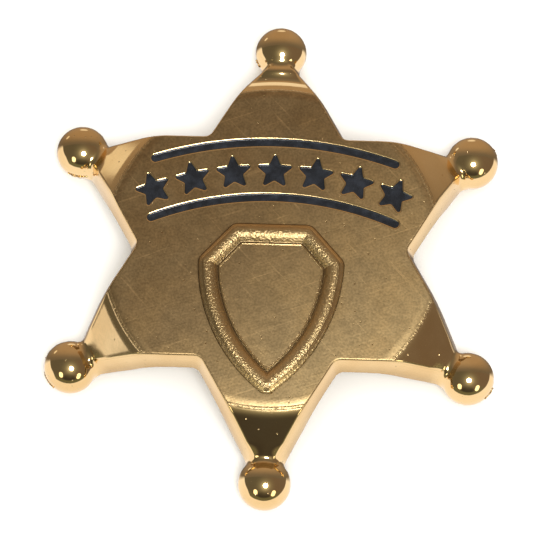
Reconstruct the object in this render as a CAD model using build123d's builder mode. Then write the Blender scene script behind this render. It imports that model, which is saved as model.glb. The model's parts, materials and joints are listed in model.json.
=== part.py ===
from build123d import *
from math import cos, pi, radians, sin, sqrt, tan
import os

os.makedirs("parts", exist_ok=True)

# Driving dimensions in millimetres, with the surface that the balls stand on at zero height
across_balls = 76.0  # outside to outside, over two opposite balls
ball_radius = 3.9
arm_count = 6
first_arm_angle = 30  # from +X, so that one arm points along +Y
notch_radius = 19.8  # from the centre to each inner corner of the star
face_height = 12.2  # the flat face, above the surface
plate_thickness = 3.7  # measured straight down, on the face and on the tips alike
crease_radius = 24.8  # the face is flat inside this circle and the tips fall away outside it
crease_round = 2.4
tip_slope = 42.0  # how steeply the tips fall, in degrees from level
tip_half_angle = 41.5  # half the angle of a fallen tip in a level section
wall_draft = 13.5  # how far the side walls lean out on their way down, in degrees
neck_round = 1.2  # the hollow curve where a tip runs into its ball
rim_into_ball = 2.7  # how far a tip reaches past the inner side of its ball

# Shield frame, raised on the face
shield_top_y = 3.5
shield_top_half = 5.8
shield_shoulder = (10.8, -2.1)
shield_side = (9.0, -11.6)
shield_point_y = -23.1
frame_crest_inset = 1.25
frame_ledge_inset = 2.5
frame_inner_inset = 2.9
frame_height = 0.75
frame_ledge_height = 0.4

# Enamel inlays, on an arc about a centre far below the middle of the face
arc_centre_y = -38.5
arc_radius = 50.6
star_inlays = 7
star_pitch = 6.15  # along the arc
star_radius = 2.9
star_waist = 1.3  # from the middle of a star to its inner corners
star_drop = 0.28  # puts the height of a star in the middle between the lines
line_offset = 4.35  # from the arc to each line
line_width = 1.1
inlay_depth = 0.5
inlay_thickness = 0.38
inlay_clearance = 0.04

# Each enamel line, with its side of the stars and half the angle that it spans
inlay_lines = [
    {"name": "enamel_line_upper", "side": 1, "half_span": 19.0},
    {"name": "enamel_line_lower", "side": -1, "half_span": 23.0},
]

# Pin clasp on the back
clasp_y = 6.0
bar_length = 36.0
bar_width = 7.0
bar_thickness = 1.0
pin_span = 26.0  # between the middle of the hinge and the middle of the catch
pin_diameter = 1.2
pin_point_diameter = 0.3
pin_point_length = 3.0
pin_drop = 3.2  # from the bar to the middle of the pin
pin_overhang = 3.4  # past the middle of the catch
hinge_length = 5.0
hinge_width = 4.4
catch_length = 2.6
catch_inner_radius = 0.9
catch_outer_radius = 1.9

# Sizes worked out from the driving dimensions
ball_ring_radius = across_balls / 2 - ball_radius
rim_radius = ball_ring_radius - ball_radius + rim_into_ball
star_apothem = notch_radius * sqrt(3) / 2
back_height = face_height - plate_thickness
draft_growth = tan(radians(wall_draft))
notch_foot_radius = notch_radius + face_height * draft_growth * 2 / sqrt(3)
inlay_floor = face_height - inlay_depth


# Corners of the six-pointed star whose inner corners lie at the given radius
def star_outline(inner_radius):
    corners = []
    for step in range(2 * arm_count):
        angle = radians(step * 180 / arm_count)
        radius = inner_radius if step % 2 == 0 else inner_radius * sqrt(3)
        corners.append((radius * cos(angle), radius * sin(angle)))
    return corners


# Level section of one fallen tip, pointing along X, at a depth below the face
def tip_outline(depth):
    edge_turn = radians(180 / arm_count)
    along_edge = sqrt(crease_radius**2 - star_apothem**2)
    corner_x = star_apothem * sin(edge_turn) + along_edge * cos(edge_turn)
    corner_y = star_apothem * cos(edge_turn) - along_edge * sin(edge_turn)
    side_fall = tan(radians(tip_half_angle))
    corner_y += depth * draft_growth / cos(radians(tip_half_angle))
    root_y = corner_y + side_fall * (corner_x - star_apothem)
    apex_x = corner_x + corner_y / side_fall
    return [(star_apothem, -root_y), (apex_x, 0), (star_apothem, root_y)]


# Corners of a five-pointed star standing with one point up
def inlay_star_outline():
    corners = []
    for step in range(10):
        angle = pi / 2 + step * pi / 5
        radius = star_radius if step % 2 == 0 else star_waist
        corners.append((radius * cos(angle), radius * sin(angle)))
    return corners


# Plane of one enamel star, level, on the arc and turned to follow it
def inlay_plane(index, height):
    turn = ((star_inlays - 1) / 2 - index) * star_pitch / arc_radius
    reach = arc_radius - star_drop
    place = (-reach * sin(turn), arc_centre_y + reach * cos(turn), height)
    return Plane(origin=place, x_dir=(cos(turn), sin(turn), 0), z_dir=(0, 0, 1))


# Outline of one enamel line, widened by a clearance on every side
def line_sketch(row, height, clearance):
    radius = arc_radius + row["side"] * line_offset
    start = 90 - row["half_span"]
    with BuildSketch(Plane.XY.offset(height)) as outline:
        with BuildLine(mode=Mode.PRIVATE) as path:
            CenterArc((0, arc_centre_y), radius, start, 2 * row["half_span"])
        SlotArc(path.edges()[0], height=line_width + 2 * clearance)
    return outline.sketch


# Dished blank: a flat disc whose rim falls away at the slope of the tips
rim_drop = (rim_radius - crease_radius) * tan(radians(tip_slope))
with BuildPart() as blank:
    with BuildSketch(Plane.XZ) as blank_profile:
        with BuildLine():
            Polyline(
                (0, face_height),
                (crease_radius, face_height),
                (rim_radius, face_height - rim_drop),
                (rim_radius, back_height - rim_drop),
                (crease_radius, back_height),
                (0, back_height),
                close=True,
            )
        make_face()
        creases = blank_profile.vertices().group_by(Axis.X)[1]
        fillet(creases, radius=crease_round)
    revolve(axis=Axis.Z)

# Side walls of the flat star, leaning out downwards
with BuildPart() as star_walls:
    with BuildSketch(Plane.XY.offset(face_height)):
        Polygon(*star_outline(notch_radius), align=None)
    with BuildSketch(Plane.XY):
        Polygon(*star_outline(notch_foot_radius), align=None)
    loft(ruled=True)

# Side walls of one fallen tip, turned in to follow its slope
with BuildPart() as tip_walls:
    with BuildSketch(Plane.XY.offset(face_height)):
        Polygon(*tip_outline(0), align=None)
    with BuildSketch(Plane.XY):
        Polygon(*tip_outline(face_height), align=None)
    loft(ruled=True)

# All that the side walls leave: the middle and the six tips
with BuildPart() as wall_limits:
    with BuildSketch(Plane.XY):
        RegularPolygon(radius=notch_foot_radius, side_count=arm_count)
    extrude(amount=face_height)
    with PolarLocations(0, arm_count, start_angle=first_arm_angle):
        add(tip_walls.part)
    add(star_walls.part, mode=Mode.INTERSECT)

# Outer line of the shield
with BuildSketch(Plane.XY) as shield_plan:
    with BuildLine():
        top_line = Line((-shield_top_half, shield_top_y), (shield_top_half, shield_top_y))
        Line(top_line @ 1, shield_shoulder)
        ThreePointArc(shield_shoulder, shield_side, (0, shield_point_y))
        left_side = ThreePointArc(
            (0, shield_point_y),
            (-shield_side[0], shield_side[1]),
            (-shield_shoulder[0], shield_shoulder[1]),
        )
        Line(left_side @ 1, top_line @ 0)
    make_face()


# One level ring of the shield frame, inset from its outer line and raised above the face
def shield_ring(inset, height):
    with BuildSketch(Plane.XY.offset(face_height + height)) as ring:
        add(shield_plan.sketch)
        if inset > 0:
            offset(amount=-inset, kind=Kind.INTERSECTION, mode=Mode.REPLACE)
    return ring.sketch


# Shield frame: an outer slope up to the crest, then a gentle inner slope and a step to the panel
with BuildPart() as shield_mound:
    add(shield_ring(0, 0))
    add(shield_ring(frame_crest_inset, frame_height))
    loft(ruled=True)

with BuildPart() as shield_hollow:
    add(shield_ring(frame_crest_inset, frame_height))
    add(shield_ring(frame_ledge_inset, frame_ledge_height))
    loft(ruled=True)

with BuildPart() as shield_step:
    add(shield_ring(frame_ledge_inset, frame_ledge_height))
    add(shield_ring(frame_inner_inset, 0))
    loft(ruled=True)


# Whether an edge of a ball lies on its inner side, where the tip runs into it
def is_neck_edge(edge):
    middle = edge.center()
    return middle.X**2 + middle.Y**2 < (ball_ring_radius - ball_radius / 2) ** 2


# The casting: plate, balls and shield frame in one piece, with recesses for the enamel
with BuildPart() as star_body:
    add(blank.part)
    add(wall_limits.part, mode=Mode.INTERSECT)
    with PolarLocations(ball_ring_radius, arm_count, start_angle=first_arm_angle):
        with Locations((0, 0, ball_radius)):
            Sphere(ball_radius)
    ball_edges = star_body.faces().filter_by(GeomType.SPHERE).edges()
    fillet(ball_edges.filter_by(is_neck_edge), radius=neck_round)
    add(shield_mound.part)
    add(shield_hollow.part, mode=Mode.SUBTRACT)
    add(shield_step.part, mode=Mode.SUBTRACT)
    for star_index in range(star_inlays):
        with BuildSketch(inlay_plane(star_index, face_height)):
            Polygon(*inlay_star_outline(), align=None)
            offset(amount=inlay_clearance, kind=Kind.INTERSECTION, mode=Mode.REPLACE)
        extrude(amount=-inlay_depth, mode=Mode.SUBTRACT)
    for row in inlay_lines:
        add(line_sketch(row, face_height, inlay_clearance))
        extrude(amount=-inlay_depth, mode=Mode.SUBTRACT)

star_body.part.label = "star_body"
export_step(star_body.part, "parts/star_body.step")

# Enamel stars, each lying on the floor of its recess
for star_index in range(star_inlays):
    with BuildPart() as enamel_star:
        with BuildSketch(inlay_plane(star_index, inlay_floor)):
            Polygon(*inlay_star_outline(), align=None)
        extrude(amount=inlay_thickness)
    star_name = f"enamel_star_{star_index + 1}"
    enamel_star.part.label = star_name
    export_step(enamel_star.part, f"parts/{star_name}.step")

# Enamel lines above and below the stars
for row in inlay_lines:
    with BuildPart() as enamel_line:
        add(line_sketch(row, inlay_floor, 0))
        extrude(amount=inlay_thickness)
    enamel_line.part.label = row["name"]
    export_step(enamel_line.part, f"parts/{row['name']}.step")

# Pin clasp: a bar on the back, a hinge lug, a closed pin and the catch round its point
hinge_x = -pin_span / 2
catch_x = pin_span / 2
bar_foot = back_height - bar_thickness
pin_axis = (clasp_y, bar_foot - pin_drop)
pin_taper_x = catch_x + pin_overhang - pin_point_length
with BuildPart() as pin_clasp:
    with BuildSketch(Plane.XY.offset(bar_foot)):
        with Locations((0, clasp_y)):
            SlotOverall(bar_length, bar_width)
    extrude(amount=bar_thickness)
    with BuildSketch(Plane.YZ.offset(hinge_x - hinge_length / 2)):
        with Locations(pin_axis):
            Circle(hinge_width / 2)
            Rectangle(hinge_width, pin_drop, align=(Align.CENTER, Align.MIN))
    extrude(amount=hinge_length)
    with BuildSketch(Plane.YZ.offset(hinge_x)):
        with Locations(pin_axis):
            Circle(pin_diameter / 2)
    extrude(amount=pin_taper_x - hinge_x)
    with BuildSketch(Plane.YZ.offset(pin_taper_x)):
        with Locations(pin_axis):
            Circle(pin_diameter / 2)
    with BuildSketch(Plane.YZ.offset(pin_taper_x + pin_point_length)):
        with Locations(pin_axis):
            Circle(pin_point_diameter / 2)
    loft()
    with BuildSketch(Plane.YZ.offset(catch_x - catch_length / 2)):
        with Locations(pin_axis):
            Circle(catch_outer_radius)
            Rectangle(catch_outer_radius, pin_drop, align=(Align.CENTER, Align.MIN))
            Circle(catch_inner_radius, mode=Mode.SUBTRACT)
            Rectangle(
                catch_outer_radius,
                catch_inner_radius,
                align=(Align.MAX, Align.CENTER),
                mode=Mode.SUBTRACT,
            )
    extrude(amount=catch_length)

pin_clasp.part.label = "pin_clasp"
export_step(pin_clasp.part, "parts/pin_clasp.step")
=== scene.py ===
"""Sheriff star badge: a gold-plated casting with black enamel inlays and a pin clasp behind.

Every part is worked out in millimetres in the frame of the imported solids, with the surface that
the balls stand on at zero height, and is turned to metres when its mesh is made.
"""

from __future__ import annotations

import json
import logging
import math
from collections.abc import Callable, Iterable, Sequence
from dataclasses import dataclass, field, replace
from enum import Enum
from functools import partial
from typing import Any, Protocol

import bpy
import numpy as np
from mathutils import Matrix, Vector
from mathutils.geometry import delaunay_2d_cdt

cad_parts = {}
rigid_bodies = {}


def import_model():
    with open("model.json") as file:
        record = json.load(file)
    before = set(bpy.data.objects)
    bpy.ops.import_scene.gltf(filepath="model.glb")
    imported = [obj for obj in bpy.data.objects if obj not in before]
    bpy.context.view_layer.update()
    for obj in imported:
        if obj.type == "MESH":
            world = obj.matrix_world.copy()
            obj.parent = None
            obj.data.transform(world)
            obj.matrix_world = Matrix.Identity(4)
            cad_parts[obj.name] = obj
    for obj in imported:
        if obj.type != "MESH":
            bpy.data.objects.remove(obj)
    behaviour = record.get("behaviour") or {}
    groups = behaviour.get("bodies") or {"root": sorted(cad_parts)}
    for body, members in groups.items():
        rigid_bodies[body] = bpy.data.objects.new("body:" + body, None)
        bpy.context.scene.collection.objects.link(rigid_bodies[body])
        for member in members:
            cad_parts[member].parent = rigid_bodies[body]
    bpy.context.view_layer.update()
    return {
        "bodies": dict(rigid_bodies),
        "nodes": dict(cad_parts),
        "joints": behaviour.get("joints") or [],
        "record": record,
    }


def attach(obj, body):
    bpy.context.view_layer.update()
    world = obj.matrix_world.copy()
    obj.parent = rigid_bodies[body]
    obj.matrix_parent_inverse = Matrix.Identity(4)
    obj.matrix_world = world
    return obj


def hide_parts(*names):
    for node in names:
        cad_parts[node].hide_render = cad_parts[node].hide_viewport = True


LOG = logging.getLogger("badge")
MM = 0.001
ROOT = "root"
SETTLING_STEPS = 12
SLOPE_STEP = 1e-4
# Polish, and darkening for dirt and painted shade, of clean, mirror-bright metal or enamel.
MIRROR = (1.0, 0.0)

BUMP, MATH, MIX = "ShaderNodeBump", "ShaderNodeMath", "ShaderNodeMix"
NOISE, RAMP, RANGE = "ShaderNodeTexNoise", "ShaderNodeValToRGB", "ShaderNodeMapRange"
PRINCIPLED, VECTOR = "ShaderNodeBsdfPrincipled", "ShaderNodeVectorMath"

# Adds a node to a tree that is already chosen, and returns the wanted output.
Put = Callable[..., Any]
# Red, green and blue strength of light, linear.
Light = tuple[float, float, float]
# A soft patch of light: its direction, the cosines where it begins and is full, and its light.
Patch = tuple[tuple[float, float, float], float, float, Light]
# A scratch pattern: its angle in degrees, the gap and the length of its lines in millimetres.
Strokes = tuple[float, float, float]


class Slot(Enum):
    """Material slots that the part's record names."""

    GOLD = "gold_plate"
    ENAMEL = "black_enamel"
    STEEL = "nickel_steel"


def linear_colour(code: str) -> tuple[float, float, float, float]:
    """Turns an sRGB hex colour into linear red, green, blue and full alpha.

    Args:
        code: Six hex digits with a leading hash.

    Returns:
        The linear colour that a shader socket takes.
    """
    parts = [int(code[i : i + 2], 16) / 255 for i in (1, 3, 5)]
    red, green, blue = (p / 12.92 if p <= 0.04045 else ((p + 0.055) / 1.055) ** 2.4 for p in parts)
    return (red, green, blue, 1.0)


def per_metre(size_mm: float) -> float:
    """Scale of a pattern in metres whose features are size_mm apart."""
    return 1.0 / (size_mm * MM)


def add_node(
    tree: bpy.types.NodeTree,
    kind: str,
    inputs: dict[int | str, Any] | None = None,
    out: int | str = 0,
    stops: Sequence[tuple[float, str]] = (),
    **settings: Any,
) -> Any:
    """Adds one node with its settings, its input values and its links.

    Args:
        tree: Node tree that gets the node.
        kind: Blender's name for the type of node.
        inputs: For each input, by name or number, a value or the output that feeds it.
        out: Name or number of the output that is wanted.
        stops: The two places and hex colours of a colour ramp.
        **settings: Properties of the node itself.

    Returns:
        The wanted output, or None for a node without outputs.
    """
    node = tree.nodes.new(kind)
    for name, value in settings.items():
        setattr(node, name, value)
    for key, value in (inputs or {}).items():
        if isinstance(value, bpy.types.NodeSocket):
            tree.links.new(value, node.inputs[key])
        else:
            node.inputs[key].default_value = value
    for index, (place, code) in enumerate(stops):
        stop = node.color_ramp.elements[index]
        stop.position, stop.color = place, linear_colour(code)
    return node.outputs[out] if len(node.outputs) else None


def emptied_tree(owner: bpy.types.Material | bpy.types.World) -> bpy.types.NodeTree:
    """Node tree of a new material or world, with nothing in it."""
    owner.use_nodes = True
    owner.node_tree.nodes.clear()
    return owner.node_tree


def linked(name: str, data: bpy.types.ID) -> bpy.types.Object:
    """Makes an object from some data and puts it in the scene."""
    made = bpy.data.objects.new(name, data)
    bpy.context.scene.collection.objects.link(made)
    return made


def smooth_max(a: np.ndarray, b: np.ndarray, blend: float) -> np.ndarray:
    """Larger of two distances, with the ridge between them eased over blend millimetres."""
    near = np.maximum(blend - np.abs(a - b), 0) / blend
    return np.maximum(a, b) + near**2 * blend / 4


def round_cut(a: np.ndarray, b: np.ndarray, radius: float) -> np.ndarray:
    """Distance to what lies inside both shapes, with their common edge rounded off."""
    corner = np.hypot(np.maximum(a + radius, 0), np.maximum(b + radius, 0))
    return np.minimum(np.maximum(a, b), -radius) + corner


def round_join(a: np.ndarray, b: np.ndarray, radius: float) -> np.ndarray:
    """Distance to what lies inside either shape, with a hollow fillet where they meet."""
    return -round_cut(-a, -b, radius)


def turned(points: np.ndarray, angle: float) -> np.ndarray:
    """Points or directions turned about the Z axis by an angle in radians."""
    cos, sin = math.cos(angle), math.sin(angle)
    spin = np.array([[cos, sin, 0.0], [-sin, cos, 0.0], [0.0, 0.0, 1.0]])
    return points @ spin


def unit(vectors: np.ndarray) -> np.ndarray:
    """Vectors scaled to length one, along the last axis."""
    return vectors / np.maximum(np.linalg.norm(vectors, axis=-1, keepdims=True), 1e-12)


def raised(flat: np.ndarray, height: float | np.ndarray) -> np.ndarray:
    """Plan points or directions with one height, or one each, as their third number."""
    return np.column_stack([flat, np.broadcast_to(height, len(flat))])


def curve(a: np.ndarray, b: np.ndarray, c: np.ndarray, share: float | np.ndarray) -> np.ndarray:
    """Points at shares of the curve that leaves a for b and arrives at c."""
    return a * (1 - share) ** 2 + 2 * b * share * (1 - share) + c * share**2


def slope_of(field: Callable[[np.ndarray], np.ndarray], points: np.ndarray) -> np.ndarray:
    """How fast a field grows along each axis at each point."""
    sides = [(field(points + a), field(points - a)) for a in np.eye(points.shape[-1]) * SLOPE_STEP]
    return np.stack([(ahead - behind) / (2 * SLOPE_STEP) for ahead, behind in sides], axis=-1)


def moved_to_zero(field: Callable[[np.ndarray], np.ndarray], points: np.ndarray) -> np.ndarray:
    """Moves points down the slope of a field to where it is zero.

    Args:
        field: Gives a value for each point, such as its distance from a surface.
        points: Points near the zero line or surface.

    Returns:
        The moved points.
    """
    for _ in range(SETTLING_STEPS):
        slope = slope_of(field, points)
        square = np.maximum(np.einsum("...i,...i->...", slope, slope), 0.05)
        points = points - slope * (field(points) / square)[..., None]
    return points


def share_between(values: np.ndarray, start: float, end: float) -> np.ndarray:
    """How far values are on their way from start to end, from 0 to 1."""
    return np.clip((values - start) / (end - start), 0, 1)


def worn(polish: float | np.ndarray, dirt_and_shade: float | np.ndarray) -> np.ndarray:
    """Polish and darkening for dirt and painted shade side by side, as a mesh's wear."""
    return np.stack(np.broadcast_arrays(polish, dirt_and_shade), axis=-1)


def tilted(normals: np.ndarray, amount: np.ndarray, axis: int) -> np.ndarray:
    """Normals tipped over along one level axis by angles in radians."""
    cos, sin = np.cos(amount), np.sin(amount)
    result = normals.copy()
    result[..., axis] = normals[..., axis] * cos + normals[..., 2] * sin
    result[..., 2] = normals[..., 2] * cos - normals[..., axis] * sin
    return result


@dataclass
class Shell:
    """A growing mesh in millimetres whose vertices carry their own shading normals."""

    points: list[np.ndarray] = field(default_factory=list)
    normals: list[np.ndarray] = field(default_factory=list)
    wear: list[np.ndarray] = field(default_factory=list)
    faces: list[np.ndarray] = field(default_factory=list)
    count: int = 0

    def add(
        self,
        points: np.ndarray,
        normals: np.ndarray,
        faces: np.ndarray,
        wear: Sequence[float] | np.ndarray,
    ) -> None:
        """Adds vertices with their normals, and faces that number those vertices from zero.

        Args:
            points: Vertices, one a row.
            normals: A shading normal for each vertex.
            faces: Vertex numbers, three or four a row.
            wear: Polish from 0 for dull to 1 for a mirror, and darkening for dirt and painted
                shade from 0 to 1, for all or for each.
        """
        self.points.append(points)
        self.normals.append(normals)
        self.wear.append(np.broadcast_to(wear, (len(points), 2)))
        self.faces.append(faces + self.count)
        self.count += len(points)

    def add_grid(
        self,
        points: np.ndarray,
        normals: np.ndarray,
        wear: Sequence[float] | np.ndarray,
        closed: bool = False,
    ) -> None:
        """wear: Polish and darkening for dirt and painted shade, for all or in the same layout.
            closed: Whether the last column joins the first one.
        """
        rows, columns = points.shape[:2]
        index = np.arange(rows * columns).reshape(rows, columns)
        ahead = np.roll(index, -1, axis=1) if closed else index[:, 1:]
        here = index if closed else index[:, :-1]
        quads = np.stack([here[:-1], ahead[:-1], ahead[1:], here[1:]], axis=-1).reshape(-1, 4)
        spread = np.broadcast_to(wear, (rows, columns, 2)).reshape(-1, 2)
        self.add(points.reshape(-1, 3), normals.reshape(-1, 3), quads, spread)

    def add_plane(
        self,
        loops: Sequence[np.ndarray],
        height: float,
        wear: Sequence[float],
        up: float = 1.0,
        dome: float = 0.0,
    ) -> None:
        """wear: Its polish, and its darkening for dirt and painted shade.
            dome: Radius of the very flat dome that the sheet is shaded as, or 0 for none.
        """
        flat = np.concatenate(loops)
        starts = np.cumsum([0] + [len(loop) for loop in loops])
        runs = [np.arange(start, end) for start, end in zip(starts, starts[1:])]
        edges = np.concatenate([np.stack([run, np.roll(run, -1)], axis=1) for run in runs])
        found = delaunay_2d_cdt([Vector(p) for p in flat], edges.tolist(), [], 0, 1e-7)
        source = np.array([origin[0] for origin in found[3]])
        triangles = source[np.array([face for face in found[2] if len(face) == 3])]
        # A triangle is inside if a level line from its middle crosses the edges an odd number of
        # times.
        middle = flat[triangles].mean(axis=1)
        a, b = flat[edges[:, 0]], flat[edges[:, 1]]
        spans = (a[None, :, 1] > middle[:, None, 1]) != (b[None, :, 1] > middle[:, None, 1])
        rise = np.where(a[:, 1] == b[:, 1], 1.0, b[:, 1] - a[:, 1])
        cross = a[:, 0] + (middle[:, 1:] - a[:, 1]) * (b[:, 0] - a[:, 0]) / rise
        inside = (spans & (cross > middle[:, :1])).sum(axis=1) % 2 == 1
        lean = flat / dome if dome else np.zeros_like(flat)
        self.add(raised(flat, height), unit(raised(lean, up)), triangles[inside], wear)

    def welded(self) -> tuple[np.ndarray, np.ndarray, np.ndarray, list[list[int]]]:
        """Joins vertices that share a place and turns every face outwards.

        Returns:
            Points, normals, wear and faces of the joined mesh.
        """
        points, normals = np.concatenate(self.points), np.concatenate(self.normals)
        wear = np.concatenate(self.wear)
        keys = np.round(points * 1e4 + 0.1371).astype(np.int64)
        _, first, inverse = np.unique(keys, axis=0, return_index=True, return_inverse=True)
        inverse = inverse.ravel()
        total = np.zeros((len(first), 3))
        np.add.at(total, inverse, normals)
        shared = unit(total)
        places = points[first]
        faces: list[list[int]] = []
        for block in self.faces:
            numbers = inverse[block]
            across = places[numbers[:, 2]] - places[numbers[:, 0]]
            other = places[numbers[:, -1]] - places[numbers[:, 1]]
            facing = np.einsum("ij,ij->i", np.cross(across, other), shared[numbers].mean(axis=1))
            for face, side in zip(numbers.tolist(), facing):
                ring = list(dict.fromkeys(face))
                if len(ring) > 2:
                    faces.append(ring if side >= 0 else ring[::-1])
        return places, shared, wear[first], faces

    def to_object(self, name: str, material: bpy.types.Material) -> bpy.types.Object:
        """Makes the mesh object in metres, with its own normals, its polish and its darkening for
        dirt and painted shade.

        Args:
            name: Name of the piece.
            material: Its finish.

        Returns:
            The linked object.
        """
        places, normals, wear, faces = self.welded()
        mesh = bpy.data.meshes.new(name)
        mesh.from_pydata((places * MM).tolist(), [], faces)
        mesh.validate()
        mesh.polygons.foreach_set("use_smooth", [True] * len(mesh.polygons))
        mesh.materials.append(material)
        for column, label in enumerate(("polish", "dirt_and_shade")):
            mesh.attributes.new(label, "FLOAT", "POINT").data.foreach_set("value", wear[:, column])
        mesh.normals_split_custom_set_from_vertices(normals.tolist())
        LOG.info("%s: %d vertices, %d faces", name, len(places), len(faces))
        return linked(name, mesh)


class PlanOutline(Protocol):
    """Anything that can draw its closed outline at an inset, point for point."""

    def at(self, inset: float) -> tuple[np.ndarray, np.ndarray]:
        """Points of the outline and the unit inward direction at each."""


@dataclass(frozen=True)
class Outline:
    """A closed plan outline that can be redrawn at any inset, point for point.

    Attributes:
        corners: Corners in order, anticlockwise.
        radii: Rounding of each corner, or None where the outline only bends a little.
        spacing: Distance between points along straight edges.
        arc_points: Number of points round each rounded corner.
    """

    corners: np.ndarray
    radii: tuple[float | None, ...]
    spacing: float = 0.3
    arc_points: int = 6

    def at(self, inset: float) -> tuple[np.ndarray, np.ndarray]:
        """Draws the outline moved inwards.

        Args:
            inset: How far inwards, below zero for outwards.

        Returns:
            Points of the outline and the unit inward direction at each.
        """
        start, end = self.corners, np.roll(self.corners, -1, axis=0)
        edge = unit(end - start)
        inward = np.column_stack([-edge[:, 1], edge[:, 0]])
        before = np.roll(inward, 1, axis=0)
        lean = before + inward
        moved = start + inset * lean * (2 / np.einsum("ij,ij->i", lean, lean))[:, None]
        turn = np.arcsin(np.clip(np.cross(np.roll(edge, 1, axis=0), edge), -1, 1))
        points: list[np.ndarray] = []
        directions: list[np.ndarray] = []
        reach = np.zeros(len(start))
        level = np.einsum("ij,ij->i", np.roll(edge, 1, axis=0), edge)
        sweeps = np.arccos(np.clip(level, -1, 1))
        for i, radius in enumerate(self.radii):
            if radius is not None:
                grown = radius - inset if turn[i] > 0 else radius + inset
                reach[i] = max(grown, 0.02) * math.tan(sweeps[i] / 2)
        for i, radius in enumerate(self.radii):
            if radius is None:
                points.append(moved[i : i + 1])
                directions.append(unit(lean[i : i + 1]))
            else:
                share = np.linspace(0, 1, self.arc_points)[:, None]
                facing = unit(before[i] * (1 - share) + inward[i] * share)
                grown = math.copysign(reach[i] / math.tan(sweeps[i] / 2), turn[i])
                middle = moved[i] + grown * lean[i] * 2 / (lean[i] @ lean[i])
                points.append(middle - grown * facing)
                directions.append(facing)
            length = float(np.linalg.norm(end[i] - start[i]))
            steps = max(1, round(length / self.spacing))
            share = (np.arange(1, steps) / steps)[:, None]
            leave = moved[i] + edge[i] * reach[i]
            arrive = moved[(i + 1) % len(moved)] - edge[i] * reach[(i + 1) % len(moved)]
            points.append(leave + (arrive - leave) * share)
            directions.append(np.repeat(inward[i : i + 1], steps - 1, axis=0))
        return np.concatenate(points), np.concatenate(directions)


@dataclass(frozen=True)
class Profile:
    """Cross-section of a frame or rim.

    Attributes:
        rows: For each corner its inset, height, easing reach, polish and darkening for dirt and
            painted shade.
        arc_points: Number of points round each eased corner.
    """

    rows: tuple[tuple[float, float, float, float, float], ...]
    arc_points: int = 5

    def drawn(self) -> tuple[np.ndarray, np.ndarray, np.ndarray]:
        """Draws the section.

        Returns:
            Points as inset and height, the unit normal at each with its inset part first, and
            the polish and grime at each.
        """
        corners = np.array([row[:2] for row in self.rows])
        points, normals, wear = [corners[0]], [np.array([0.0, 1.0])], [self.rows[0][3:]]
        for i in range(1, len(corners) - 1):
            reach = self.rows[i][2]
            into, out = unit(corners[i] - corners[i - 1]), unit(corners[i + 1] - corners[i])
            for share in np.linspace(0, 1, self.arc_points):
                start, end = corners[i] - into * reach, corners[i] + out * reach
                points.append(curve(start, corners[i], end, share))
                heading = unit(into * (1 - share) + out * share)
                normals.append(np.array([-heading[1], heading[0]]))
                wear.append(self.rows[i][3:])
        points.append(corners[-1])
        normals.append(normals[0])
        wear.append(self.rows[-1][3:])
        return np.array(points), np.array(normals), np.array(wear)

    def add_to(self, shell: Shell, outline: PlanOutline, height: float, dome: float) -> None:
        """Sweeps the section along an outline and adds the surface to a shell.

        Args:
            shell: Mesh that gets the surface.
            outline: Plan outline to follow.
            height: Height that the section's heights count from.
            dome: Radius of the very flat dome that the face round it is shaded as.
        """
        section, section_normals, wear = self.drawn()
        rings, directions = [], []
        for (inset, rise), (lean, up) in zip(section, section_normals):
            flat, inward = outline.at(float(inset))
            rings.append(raised(flat, height + rise))
            directions.append(unit(raised(inward * lean + flat / dome * up, up)))
        shell.add_grid(np.array(rings), np.array(directions), wear[:, None, :], closed=True)


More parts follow.
